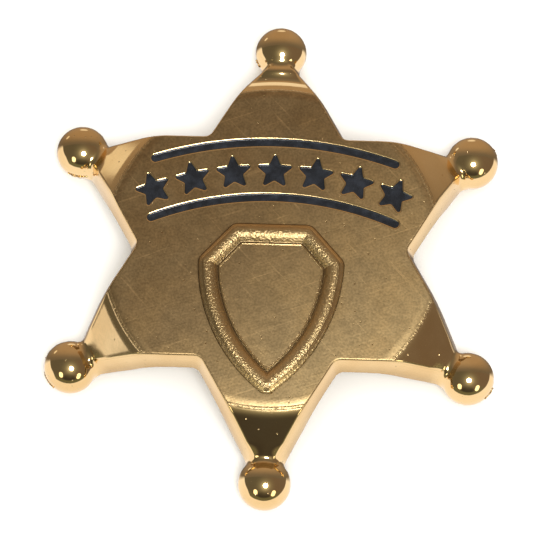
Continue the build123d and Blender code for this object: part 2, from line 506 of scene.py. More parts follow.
@dataclass(frozen=True)
class StarForm:
    """The solid form of the star: a dished plate with six fallen tips, each ending in a ball.

    Lengths are in millimetres and angles in radians. The form is worked out in the frame of one
    arm, which points along X, and is the same for all six.

    Attributes:
        arm_count: Number of arms.
        first_arm: Direction of the first arm.
        notch_radius: Distance of the inner corners from the axis.
        face_height: Height of the flat face.
        plate: Thickness of the casting.
        crease_radius: Radius of the crease where the tips begin.
        crease_round: Radius of the bend at the crease.
        tip_slope: Angle at which the tips fall away.
        tip_half_angle: Half the angle between the sides of a tip.
        wall_draft: Lean of the side walls.
        edge_round: Rounding of the upper edges.
        foot_round: Rounding of the lower edges.
        notch_round: Rounding of the inner corners.
        corner_blend: Width over which flat and tip walls ease into each other.
        neck_round: Fillet between a tip and its ball.
        ball_radius: Radius of a ball.
        ball_ring: Distance of the balls from the axis.
        tip_end: Where the tips end inside their balls.
    """

    arm_count: int = 6
    first_arm: float = math.radians(30)
    notch_radius: float = 19.8
    face_height: float = 12.2
    plate: float = 3.7
    crease_radius: float = 24.95
    crease_round: float = 4.4
    tip_slope: float = math.radians(42)
    tip_half_angle: float = math.radians(41.5)
    wall_draft: float = math.radians(13.5)
    edge_round: float = 0.28
    foot_round: float = 0.2
    notch_round: float = 0.7
    corner_blend: float = 0.5
    neck_round: float = 0.9
    ball_radius: float = 3.9
    ball_ring: float = 34.1
    tip_end: float = 32.0

    @property
    def pitch(self) -> float:
        """Angle between two arms."""
        return 2 * math.pi / self.arm_count

    @property
    def crease_start(self) -> float:
        """Radius where the flat face begins to bend down."""
        return self.crease_radius - self.crease_round * math.tan(self.tip_slope / 2)

    @property
    def crease_end(self) -> float:
        """Radius where the bend has reached the slope of the tips."""
        return self.crease_start + self.crease_round * math.sin(self.tip_slope)

    def surface(self, radius: np.ndarray) -> tuple[np.ndarray, np.ndarray]:
        """Height and slope of the top surface.

        Args:
            radius: Distances from the axis of the star.

        Returns:
            Height above the standing surface, and slope in radians.
        """
        into = (radius - self.crease_start) / self.crease_round
        slope = np.arcsin(np.clip(into, 0, math.sin(self.tip_slope)))
        fall = self.crease_round * (1 - np.cos(slope))
        fall = fall + np.maximum(radius - self.crease_end, 0) * math.tan(self.tip_slope)
        return self.face_height - fall, slope

    def arm_wall(self, along: np.ndarray, across: np.ndarray, depth: np.ndarray) -> np.ndarray:
        """Distance outside the side walls of one arm, flat part and tip together."""
        edge_turn = self.pitch / 2
        apothem = self.notch_radius * math.cos(edge_turn)
        run = math.sqrt(self.crease_radius**2 - apothem**2)
        corner_x = apothem * math.sin(edge_turn) + run * math.cos(edge_turn)
        corner_y = apothem * math.cos(edge_turn) - run * math.sin(edge_turn)
        lean = depth * math.tan(self.wall_draft)
        flat = math.sin(edge_turn) * along + math.cos(edge_turn) * across - apothem - lean
        half = self.tip_half_angle
        tip = math.sin(half) * (along - corner_x) + math.cos(half) * (across - corner_y) - lean
        return smooth_max(flat, tip, self.corner_blend) * math.cos(self.wall_draft)

    def wall(self, points: np.ndarray) -> np.ndarray:
        """Distance outside the walls of the whole star, with its inner corners hollowed."""
        radius, turn = self.folded(points)
        depth = self.face_height - points[..., 2]
        here = self.arm_wall(radius * np.cos(turn), radius * np.sin(turn), depth)
        beside = self.pitch - turn
        other = self.arm_wall(radius * np.cos(beside), radius * np.sin(beside), depth)
        return round_join(here, other, self.notch_round)

    def folded(self, points: np.ndarray) -> tuple[np.ndarray, np.ndarray]:
        """Distance from the axis and angle from the nearest arm's middle line."""
        turn = np.arctan2(points[..., 1], points[..., 0])
        turn = np.abs((turn + self.pitch / 2) % self.pitch - self.pitch / 2)
        return np.hypot(points[..., 0], points[..., 1]), turn

    def distance(self, points: np.ndarray) -> np.ndarray:
        """Signed distance outside the whole casting, near enough for finding its surface."""
        radius, turn = self.folded(points)
        along, across = radius * np.cos(turn), radius * np.sin(turn)
        height, slope = self.surface(radius)
        top = (points[..., 2] - height) * np.cos(slope)
        under = (height - self.plate - points[..., 2]) * np.cos(slope)
        body = round_cut(top, self.wall(points), self.edge_round)
        body = round_cut(body, under, self.foot_round)
        body = np.maximum(body, along - self.tip_end)
        away = np.stack([along - self.ball_ring, across, points[..., 2] - self.ball_radius])
        ball = np.sqrt((away**2).sum(axis=0)) - self.ball_radius
        return round_join(body, ball, self.neck_round)

    def settled(self, points: np.ndarray) -> tuple[np.ndarray, np.ndarray]:
        """Moves points onto the surface.

        Args:
            points: Points near the surface.

        Returns:
            Points on the surface and the outward normal at each.
        """
        points = moved_to_zero(self.distance, points)
        return points, unit(slope_of(self.distance, points))

    def rim(self, seeds: np.ndarray, below: float, inset: float) -> np.ndarray:
        """Finds the line where the walls meet the top surface or the underside.

        Args:
            seeds: Plan points near the line, as rows of x and y.
            below: Depth of the sheet under the top surface, 0 or the plate.
            inset: How far inside the walls the line runs.

        Returns:
            Points of the line.
        """

        def lift(flat: np.ndarray) -> np.ndarray:
            """Plan points raised to the sheet."""
            height, _ = self.surface(np.hypot(flat[..., 0], flat[..., 1]))
            return np.concatenate([flat, (height - below)[..., None]], axis=-1)

        return lift(moved_to_zero(lambda flat: self.wall(lift(flat)) + inset, seeds))


@dataclass(frozen=True)
class StarMesher:
    """Lays a mesh over the form of the star, aligned with its edges, creases and necks.

    The real tips are polished a little out of flat. The mesh keeps them flat and only its shading
    normals lean, by angles in degrees. Each row of six numbers goes anticlockwise from the arm at
    upper right, so the second one is for the upper arm.

    Attributes:
        form: The form that the mesh follows.
        face_polish: Polish of the flat face.
        wall_polish: Polish of the side walls.
        under_wear: Polish of the underside and how far it is darkened.
        foot_shade: Painted shade in a dark band along the foot of the walls.
        lip_shade: Painted shade in a thin dark line just below the upper edge.
        arm_polish: Polish of each tip.
        arm_lean: How far the normals of each tip lean outwards.
        tip_lean: The same for the end of each tip, beside its ball.
        tip_turn: Further lean over the last stretch.
        tip_bend: Radii where the lean of the end sets in and is full, then the same for the turn.
        neck_crown: How far normals lean sideways where a tip rounds into its ball, in radians.
        near_notch: Distances of the first stations from the inner corner.
        bend_points: Number of stations through the crease.
        tip_points: Number of stations along a tip.
        neck_points: Number of stations through a neck.
        edge_points: Number of points over the upper edge.
        foot_points: Number of points round the lower edge.
        sheet_points: Number of quads across half an arm.
        neck_rings: Number of rows along a neck.
        ball_rings: Number of rings round a ball.
        neck_start: Radius where the tips end and the necks begin.
        neck_end: Radius well inside the balls.
    """

    form: StarForm
    face_polish: float = 0.25
    wall_polish: float = 0.75
    under_wear: tuple[float, float] = (0.2, 0.3)
    foot_shade: float = 0.55
    lip_shade: float = 0.2
    arm_polish: tuple[float, ...] = (0.85, 0.95, 0.82, 0.8, 0.97, 0.85)
    arm_lean: tuple[float, ...] = (0.0, 0.0, -2.5, 5.0, 0.0, 0.0)
    tip_lean: tuple[float, ...] = (0.0, -36.0, -2.5, 5.0, 0.0, 0.0)
    tip_turn: tuple[float, ...] = (0.0, -27.0, 0.0, 0.0, 0.0, 0.0)
    tip_bend: tuple[float, float, float, float] = (26.7, 27.1, 27.4, 29.0)
    neck_crown: float = math.radians(26)
    near_notch: tuple[float, ...] = (0.0, 0.06, 0.16, 0.3, 0.5, 0.8, 1.2, 1.8, 2.6)
    bend_points: int = 15
    tip_points: int = 6
    neck_points: int = 24
    edge_points: int = 7
    foot_points: int = 5
    sheet_points: int = 9
    neck_rings: int = 10
    ball_rings: int = 20
    neck_start: float = 29.2
    neck_end: float = 32.9

    def edge_line(self, radii: np.ndarray) -> np.ndarray:
        """Plan points along the sharp edge of half an arm.

        Args:
            radii: Distances of the points from the axis of the star.

        Returns:
            The points as rows of x and y.
        """
        low, high = np.zeros(len(radii)), np.full(len(radii), self.form.pitch / 2)
        depth = self.form.face_height - self.form.surface(radii)[0]
        for _ in range(50):
            middle = (low + high) / 2
            along, across = radii * np.cos(middle), radii * np.sin(middle)
            outside = self.form.arm_wall(along, across, depth) > 0
            high, low = np.where(outside, middle, high), np.where(outside, low, middle)
        return np.column_stack([radii * np.cos(low), radii * np.sin(low)])

    def stations(self) -> tuple[np.ndarray, np.ndarray, int]:
        """Radii at which the edge of half an arm has points.

        Returns:
            Radii from the inner corner to the neck, radii through the neck into the ball, and the
            number of the first one where a row runs across the arm.
        """
        form = self.form
        near = form.notch_radius + np.array(self.near_notch)
        bend = np.linspace(form.crease_start, form.crease_end, self.bend_points) + form.edge_round
        tip = np.linspace(bend[-1], self.neck_start, self.tip_points + 1)[1:]
        neck = np.linspace(self.neck_start, self.neck_end, self.neck_points)
        return np.concatenate([near, bend, tip]), neck, len(near)

    def edge_ribs(self, sharp: np.ndarray) -> np.ndarray:
        """Rows of points over the rounded top edge, down the wall and round its foot."""
        form = self.form
        top = form.rim(sharp, 0.0, 0.0)
        foot = form.rim(sharp, form.plate, 0.0)
        inner = form.rim(sharp, 0.0, form.edge_round * 1.02)
        under = form.rim(sharp, form.plate, form.foot_round * 1.02)
        down = unit(foot - top)
        upper_end = top + down * form.edge_round * 1.3
        lower_end = foot - down * form.foot_round * 1.3
        rows = [curve(inner, top, upper_end, s) for s in np.linspace(0, 1, self.edge_points)]
        rows += [upper_end + (lower_end - upper_end) * s for s in (0.33, 0.67)]
        rows += [curve(lower_end, foot, under, s) for s in np.linspace(0, 1, self.foot_points)]
        return np.stack(rows, axis=1)

    def sheet(self, rim: np.ndarray, below: float) -> np.ndarray:
        """Rows across half an arm at steady radius, from its middle line to the rim."""
        radius, turn = np.hypot(rim[:, 0], rim[:, 1]), np.arctan2(rim[:, 1], rim[:, 0])
        shares = np.linspace(0, 1, self.sheet_points + 1)
        angle = turn[:, None] * shares[None, :]
        height, _ = self.form.surface(radius)
        flat = radius[:, None, None] * np.stack([np.cos(angle), np.sin(angle)], axis=-1)
        lifted = np.broadcast_to((height - below)[:, None, None], (*angle.shape, 1))
        return np.concatenate([flat, lifted], axis=-1)

    def belt(
        self, form: StarForm, radii: np.ndarray, first: int
    ) -> tuple[tuple[np.ndarray, ...], ...]:
        """Points on the top, edges and underside of half an arm.

        Args:
            form: The form that the points settle on.
            radii: Stations along the edge.
            first: Number of the first station with a row across the arm.

        Returns:
            Points and normals of the edges, of the top and of the underside.
        """
        ribs = form.settled(self.edge_ribs(self.edge_line(radii)))
        upper = form.settled(self.sheet(ribs[0][first:, 0], 0.0))
        lower = form.settled(self.sheet(ribs[0][first:, -1], form.plate))
        return ribs, upper, lower

    def neck_rows(self, radii: np.ndarray, last: np.ndarray) -> np.ndarray:
        """Rows that follow the arm's own surface until it runs into the ball.

        Args:
            radii: Stations from the end of the arm to well inside the ball.
            last: The last row of the arm, from the top middle line round to the underside.

        Returns:
            Rows of points, the first of which is the last row of the arm.
        """
        plain = replace(self.form, ball_ring=90.0, tip_end=80.0)
        ribs, upper, lower = self.belt(plain, radii, 0)
        strip = np.concatenate([upper[0], ribs[0][:, 1:-1], lower[0][:, ::-1]], axis=1)
        centre = np.array([self.form.ball_ring, 0.0, self.form.ball_radius])
        gap = np.linalg.norm(strip - centre, axis=-1) - self.form.ball_radius
        after = np.argmax(gap < 0, axis=0)
        column = np.arange(strip.shape[1])
        before = after - 1
        meet = before + gap[before, column] / (gap[before, column] - gap[after, column])
        rows = []
        for share in np.linspace(0, 1, self.neck_rings + 1):
            spot = meet * share
            whole = np.minimum(spot.astype(int), len(radii) - 2)
            part = (spot - whole)[:, None]
            rows.append(strip[whole, column] * (1 - part) + strip[whole + 1, column] * part)
        rows[0] = last
        return np.array(rows)

    def ball_rows(self, start: np.ndarray) -> np.ndarray:
        """Rings from the end of the neck round the ball to its far pole.

        Args:
            start: The last row of the neck.

        Returns:
            Rings of points, the first of which is the last row of the neck.
        """
        form = self.form
        centre = np.array([form.ball_ring, 0.0, form.ball_radius])
        back = unit(np.array([-3.1, 0.0, 1.0]))
        up, side = np.array([back[2], 0.0, -back[0]]), np.array([0.0, 1.0, 0.0])
        away = unit(start - centre)
        around = np.arctan2(away @ side, away @ up)
        around[0], around[-1] = 0.0, math.pi
        even = np.linspace(0, math.pi, len(start))
        opening = np.arccos(away @ back)
        rings = [start]
        for share in np.linspace(0, 1, self.ball_rings + 1)[1:]:
            ease = min(1.0, 2.0 * share)
            turn = around * (1 - ease) + even * ease
            open_angle = opening * (1 - share) + math.pi * share
            aside = np.cos(turn)[:, None] * up + np.sin(turn)[:, None] * side
            facing = np.cos(open_angle)[:, None] * back + np.sin(open_angle)[:, None] * aside
            rings.append(centre + form.ball_radius * facing)
        return np.array(rings)

    def add_to(self, shell: Shell, holes: Sequence[np.ndarray], dome: float) -> None:
        """Adds the whole casting, apart from what fills the holes in its face.

        Args:
            shell: Mesh that gets the surface.
            holes: Outlines in the face that other parts fill.
            dome: Radius of the very flat dome that the face is shaded as.
        """
        form = self.form
        radii, beyond, begin = self.stations()
        edges, top, underside = self.belt(form, radii, begin)
        (ribs, rib_normals), (upper, upper_normals), (lower, lower_normals) = edges, top, underside
        last = np.concatenate([upper[-1], ribs[-1, 1:-1], lower[-1, ::-1]])
        neck, neck_normals = form.settled(self.neck_rows(beyond, last))
        ball, ball_normals = form.settled(self.ball_rows(neck[-1]))
        # Shares that grow along an arm: past its crease, to its end, and over its last stretch.
        reach = np.hypot(*upper[:, -1, :2].T)
        ease = share_between(form.surface(reach)[1] / form.tip_slope, 0.35, 0.8)
        ease = ease**2 * (3 - 2 * ease)
        along_rib = np.concatenate([np.zeros(begin), ease])
        tip = share_between(reach, *self.tip_bend[:2])
        turn = share_between(reach, *self.tip_bend[2:])
        # Shares round a neck, where the columns of the top come first and then those of the edge.
        across = upper.shape[1]
        beside = np.linspace(1, 0, self.edge_points)[1:]
        rest = (0, neck.shape[1] - across - len(beside))
        crown = np.pad(np.concatenate([np.linspace(0, 1, across), beside]), rest)[None, :]
        crown = self.neck_crown * crown
        on_top = np.pad(np.concatenate([np.ones(across), beside]), rest)[None, :]
        rise = np.sin(np.linspace(0, math.pi, len(neck)))[:, None]
        down = np.linspace(0, 1, len(neck))[:, None]
        # Painted shade from the upper edge down a wall to its foot: a thin dark line under the
        # edge and a dark band at the foot.
        column = np.linspace(0, 1, ribs.shape[1])[None, :]
        wall_shade = self.foot_shade * share_between(column, 0.5, 0.75)
        wall_shade = wall_shade + self.lip_shade * np.exp(-(((column - 0.4) / 0.05) ** 2))
        flip = np.array([1.0, -1.0, 1.0])
        top_loop: list[np.ndarray] = []
        under_loop: list[np.ndarray] = []
        for arm in range(form.arm_count):
            angle = form.first_arm + arm * form.pitch
            bulged = float(self.tip_turn[arm] != 0)
            lean = self.arm_lean[arm] * ease + (self.tip_lean[arm] - self.arm_lean[arm]) * tip
            lean = np.radians(lean + self.tip_turn[arm] * turn)
            leaned = tilted(upper_normals, lean[:, None], 0)
            leaned = tilted(leaned, crown[:, :across] * (tip * bulged)[:, None], 1)
            bowed = tilted(neck_normals, lean[-1] * (1 - down) * on_top, 0)
            bowed = tilted(bowed, crown * np.maximum(rise, (1 - down) * bulged), 1)
            gain = self.arm_polish[arm] - self.face_polish
            top_wear = worn((self.face_polish + gain * ease)[:, None], np.zeros((1, across)))
            rib_polish = (self.face_polish + gain * along_rib)[:, None]
            rib_wear = worn(np.where(column > 0.2, self.wall_polish, rib_polish), wall_shade)
            under_wear = np.broadcast_to(self.under_wear, (*lower.shape[:2], 2))
            before = np.concatenate([top_wear[-1], rib_wear[-1, 1:-1], under_wear[-1]])[None]
            neck_wear = before + (np.array(MIRROR) - before) * down[..., None]
            grids = (
                (ribs, rib_normals, rib_wear),
                (upper, leaned, top_wear),
                (lower, lower_normals, under_wear),
                (neck, bowed, neck_wear),
                (ball, ball_normals, MIRROR),
            )
            for side in (flip, np.ones(3)):
                for points, normals, wear in grids:
                    tilt, place = turned(normals * side, angle), turned(points * side, angle)
                    level = tilt[..., 2:] > 0.99999
                    bulge = np.concatenate([place[..., :2] / dome, place[..., 2:] * 0], axis=-1)
                    shell.add_grid(place, np.where(level, unit(tilt + bulge), tilt), wear)
            for loop, end, row in ((top_loop, 0, upper[0]), (under_loop, -1, lower[0])):
                half = np.concatenate([ribs[: begin + 1, end], row[-2:0:-1], row[:1]])
                both = np.concatenate([(half * flip)[:-1], half[::-1][:-1]])
                loop.append(turned(both, angle)[:, :2])
        face = [np.concatenate(top_loop), *holes]
        shell.add_plane(face, form.face_height, (self.face_polish, 0.0), dome=dome)
        under = [np.concatenate(under_loop)]
        shell.add_plane(under, form.face_height - form.plate, self.under_wear, up=-1.0)


@dataclass(frozen=True)
class ShieldFrame:
    """Raised frame in the lower half of the face, shaped like a shield.

    Attributes:
        top_y: Height of the top edge in plan.
        top_half: Half of its length.
        shoulder: Corner below and beside it.
        side: A point on the curved side.
        point_y: The lower point.
        corner_round: Rounding of the corners.
        tip_round: Rounding of the point.
        corner_points: Number of points round a corner.
        side_points: Number of points along a curved side, with both ends.
        edge_points: Number of points along a straight edge, with both ends.
        section: Cross-section from the outer foot to the inner one.
    """

    top_y: float = 3.5
    top_half: float = 5.8
    shoulder: tuple[float, float] = (10.8, -2.1)
    side: tuple[float, float] = (9.0, -11.6)
    point_y: float = -23.1
    corner_round: float = 1.9
    tip_round: float = 1.6
    corner_points: int = 9
    side_points: int = 42
    edge_points: int = 14
    # The last number in each row is painted shade: dark lines in the grooves at the outer and
    # inner feet of the frame, weaker elsewhere.
    section: Profile = Profile(
        (
            (-0.35, 0.0, 0.0, 0.25, 0.0),
            (-0.12, 0.0, 0.06, 0.25, 0.1),
            (0.0, 0.0, 0.06, 0.4, 0.8),
            (0.12, 0.12, 0.04, 0.5, 0.1),
            (0.45, 0.43, 0.2, 0.6, 0.0),
            (0.8, 0.66, 0.15, 0.5, 0.2),
            (1.25, 0.75, 0.25, 0.49, 0.0),
            (1.8, 0.7, 0.32, 0.49, 0.0),
            (2.3, 0.42, 0.2, 0.5, 0.05),
            (2.75, 0.03, 0.1, 0.5, 0.4),
            (2.93, -0.05, 0.07, 0.4, 0.85),
            (3.12, 0.06, 0.05, 0.75, 0.0),
            (3.28, 0.0, 0.04, 0.5, 0.0),
            (3.4, 0.0, 0.0, 0.25, 0.0),
        )
    )

    def side_arc(self) -> tuple[np.ndarray, float]:
        """Centre and radius of the arc from the shoulder through the side to the point."""
        end = np.array([0.0, self.point_y])
        a, b = np.array(self.shoulder) - end, np.array(self.side) - end
        scale = 2 * (a[0] * b[1] - a[1] * b[0])
        offset = np.array([b[1], -b[0]]) * (a @ a) - np.array([a[1], -a[0]]) * (b @ b)
        offset = offset / scale
        return end + offset, float(np.linalg.norm(offset))

    def at(self, inset: float) -> tuple[np.ndarray, np.ndarray]:
        """Draws the outline moved inwards, anticlockwise from the middle of its point.

        Args:
            inset: How far inwards, below zero for outwards.

        Returns:
            Points of the outline and the unit inward direction at each.
        """
        centre, full_radius = self.side_arc()
        radius = full_radius - inset
        slant_start, slant_end = np.array(self.shoulder), np.array([self.top_half, self.top_y])
        slant = unit(slant_end - slant_start)
        slant_in = np.array([-slant[1], slant[0]])
        ahead = slant_in @ (centre - slant_start) - inset
        run = math.sqrt(radius**2 - ahead**2)
        shoulder = centre - slant_in * ahead - slant * run
        rise = (self.top_y - inset - shoulder[1]) / slant[1]
        crown = shoulder + slant * rise
        point = np.array([0.0, centre[1] - math.sqrt(radius**2 - centre[0] ** 2)])
        points: list[np.ndarray] = []
        inward: list[np.ndarray] = []

        def bend(corner: np.ndarray, into: np.ndarray, out: np.ndarray, rounding: float) -> float:
            """Rounds a corner and tells how far from it the curve begins."""
            sweep = math.acos(float(np.clip(into @ out, -1, 1)))
            reach = max(rounding - inset, 0.03) * math.tan(sweep / 2)
            share = np.linspace(0, 1, self.corner_points)[:, None]
            points.append(curve(corner - into * reach, corner, corner + out * reach, share))
            heading = unit(into * (1 - share) + out * share)
            inward.append(np.column_stack([-heading[:, 1], heading[:, 0]]))
            return reach

        def along_arc(spot: np.ndarray) -> np.ndarray:
            """Heading of the side arc at a spot on it."""
            arm = unit(spot - centre)
            return np.array([-arm[1], arm[0]])

        tip_out = along_arc(point)
        tip_reach = bend(point, tip_out * np.array([1.0, -1.0]), tip_out, self.tip_round)
        half = self.corner_points // 2
        points[0], inward[0] = points[0][half:], inward[0][half:]
        low = math.atan2(*(point - centre)[::-1]) + tip_reach / radius
        place = len(points)
        shoulder_reach = bend(shoulder, along_arc(shoulder), slant, self.corner_round)
        high = math.atan2(*(shoulder - centre)[::-1]) - shoulder_reach / radius
        turns = np.linspace(low, high, self.side_points)[1:-1]
        arms = np.column_stack([np.cos(turns), np.sin(turns)])
        points.insert(place, centre + radius * arms)
        inward.insert(place, -arms)
        place = len(points)
        crown_reach = bend(crown, slant, np.array([-1.0, 0.0]), self.corner_round)
        share = np.linspace(0, 1, self.edge_points)[1:-1, None]
        first, last = shoulder + slant * shoulder_reach, crown - slant * crown_reach
        points.insert(place, first + (last - first) * share)
        inward.insert(place, np.repeat(slant_in[None], len(share), axis=0))
        first, last = crown - np.array([crown_reach, 0.0]), np.array([0.0, crown[1]])
        share = np.linspace(0, 1, self.edge_points)[1:, None]
        points.append(first + (last - first) * share)
        inward.append(np.repeat(np.array([[0.0, -1.0]]), len(share), axis=0))
        right, right_in = np.concatenate(points), np.concatenate(inward)
        flip = np.array([-1.0, 1.0])
        return (
            np.concatenate([right, (right * flip)[-2:0:-1]]),
            np.concatenate([right_in, (right_in * flip)[-2:0:-1]]),
        )


@dataclass(frozen=True)
class EnamelBand:
    """Seven enamel stars between two enamel lines, on an arc above the shield.

    Attributes:
        arc_centre_y: Middle of the arc in plan.
        arc_radius: Radius of the arc halfway between the lines.
        star_count: Number of stars.
        star_pitch: Distance between stars along the arc.
        star_radius: Reach of the points of a star.
        star_waist: Reach of its inner corners.
        star_drop: How far the stars sit inside the arc.
        line_offset: Distance of each line from the arc.
        line_width: Width of the lines.
        upper_half_span: Half the angle that the upper line spans.
        lower_half_span: Half the angle that the lower line spans.
        floor_depth: Depth of the recesses.
        enamel_depth: How far the enamel lies below the face.
        meniscus: Inset and rise of the enamel where it climbs a little at its rim.
        rim: Cross-section of the raised rim and the wall of a recess.
    """

    arc_centre_y: float = -38.5
    arc_radius: float = 50.6
    star_count: int = 7
    star_pitch: float = 6.15
    star_radius: float = 2.9
    star_waist: float = 1.3
    star_drop: float = 0.28
    line_offset: float = 4.35
    line_width: float = 1.1
    upper_half_span: float = math.radians(19)
    lower_half_span: float = math.radians(23)
    floor_depth: float = 0.5
    enamel_depth: float = 0.16
    meniscus: tuple[tuple[float, float], ...] = (
        (-0.06, 0.1),
        (0.0, 0.075),
        (0.03, 0.045),
        (0.07, 0.016),
        (0.12, 0.003),
        (0.2, 0.0),
        (0.3, 0.0),
    )
    # The last number in each row is painted shade down the wall and over the floor of a recess.
    rim: Profile = Profile(
        (
            (-0.3, 0.0, 0.0, 0.25, 0.0),
            (0.0, 0.0, 0.28, 0.8, 0.0),
            (0.02, -0.4, 0.05, 0.6, 0.8),
            (0.03, -0.5, 0.0, 0.3, 1.0),
        ),
        6,
    )

    @property
    def star_outline(self) -> Outline:
        """Outline of one star about its own middle, with one point up."""
        corners = []
        for step in range(10):
            angle = math.pi / 2 + step * math.pi / 5
            radius = self.star_radius if step % 2 == 0 else self.star_waist
            corners.append((radius * math.cos(angle), radius * math.sin(angle)))
        return Outline(np.array(corners), (0.2, 0.5) * 5, spacing=0.2, arc_points=7)

    def star_places(self) -> list[tuple[float, float, float]]:
        """Middle and turn of each star, from left to right, as x, y and radians."""
        places = []
        for index in range(self.star_count):
            turn = ((self.star_count - 1) / 2 - index) * self.star_pitch / self.arc_radius
            reach = self.arc_radius - self.star_drop
            x, y = -reach * math.sin(turn), self.arc_centre_y + reach * math.cos(turn)
            places.append((x, y, turn))
        return places

    def moved_star(self, place: tuple[float, float, float]) -> Outline:
        """Outline of a star at its place on the arc."""
        x, y, turn = place
        cos, sin = math.cos(turn), math.sin(turn)
        source = self.star_outline
        corners = source.corners @ np.array([[cos, sin], [-sin, cos]]) + np.array([x, y])
        return replace(source, corners=corners)

    def line_outline(self, side: float, half_span: float) -> Outline:
        """Outline of one line, with round ends.

        Args:
            side: 1 for the line above the stars, -1 for the one below.
            half_span: Half the angle that the line spans, in radians.
        """
        radius = self.arc_radius + side * self.line_offset
        centre = np.array([0.0, self.arc_centre_y])
        half = self.line_width / 2
        sweep = np.linspace(-half_span, half_span, 71)
        headings = np.column_stack([-np.sin(sweep), np.cos(sweep)])
        outer, inner = centre + (radius + half) * headings, centre + (radius - half) * headings
        caps = []
        for angle, first in ((half_span, 0.0), (-half_span, math.pi)):
            middle = centre + radius * np.array([-math.sin(angle), math.cos(angle)])
            turns = math.pi / 2 + angle + first + np.linspace(0, math.pi, 13)[1:-1]
            caps.append(middle + half * np.column_stack([np.cos(turns), np.sin(turns)]))
        corners = np.concatenate([outer, caps[0], inner[::-1], caps[1]])
        return Outline(corners, (None,) * len(corners), spacing=5.0)

    def recesses(self) -> list[Outline]:
        """Outlines of all the recesses in the face."""
        found = [self.moved_star(place) for place in self.star_places()]
        found.append(self.line_outline(1.0, self.upper_half_span))
        found.append(self.line_outline(-1.0, self.lower_half_span))
        return found

    def fill(self, shell: Shell, outline: Outline, height: float) -> None:
        """Adds the top of one enamel filling, which climbs a little at its rim."""
        insets, rises = zip(*self.meniscus)
        level = height - self.enamel_depth
        sheet, normals = [], []
        for inset, rise, slope in zip(insets, rises, np.gradient(rises, insets)):
            ring, inward = outline.at(inset)
            sheet.append(raised(ring, level + rise))
            normals.append(unit(raised(-inward * slope, 1.0)))
        shell.add_grid(np.array(sheet), np.array(normals), MIRROR, closed=True)
        shell.add_plane([sheet[-1][:, :2]], level, MIRROR)


